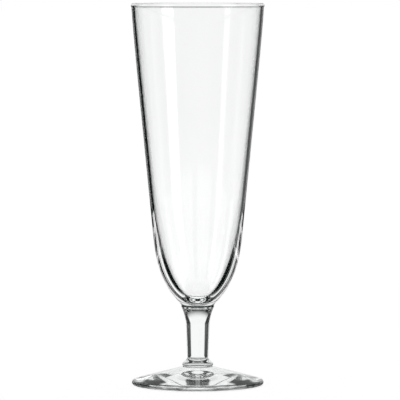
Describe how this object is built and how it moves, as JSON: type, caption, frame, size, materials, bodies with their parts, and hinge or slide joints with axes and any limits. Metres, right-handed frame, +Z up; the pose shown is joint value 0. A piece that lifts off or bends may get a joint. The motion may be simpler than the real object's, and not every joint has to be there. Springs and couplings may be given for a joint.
{
  "type": "beer glass",
  "caption": "Tall tapered clear-glass beer glass with a rounded thick base, on a short flared stem with a rounded knop and a conical foot.",
  "frame": {"origin": "on the axis of the glass, in the plane that its foot stands on", "axes": "+Z up along the axis, from the foot to the rim; the glass is round, so +X and +Y are free"},
  "size_m": [0.0734, 0.0734, 0.21],
  "materials": {
    "bowl_glass": "clear blown glass, fire-polished",
    "stem_glass": "clear pressed glass, fire-polished",
    "foot_glass": "clear pressed glass, fire-polished"
  },
  "bodies": {
    "root": {"bowl": "bowl_glass", "stem": "stem_glass", "knop": "stem_glass", "foot": "foot_glass"}
  },
  "joints": []
}
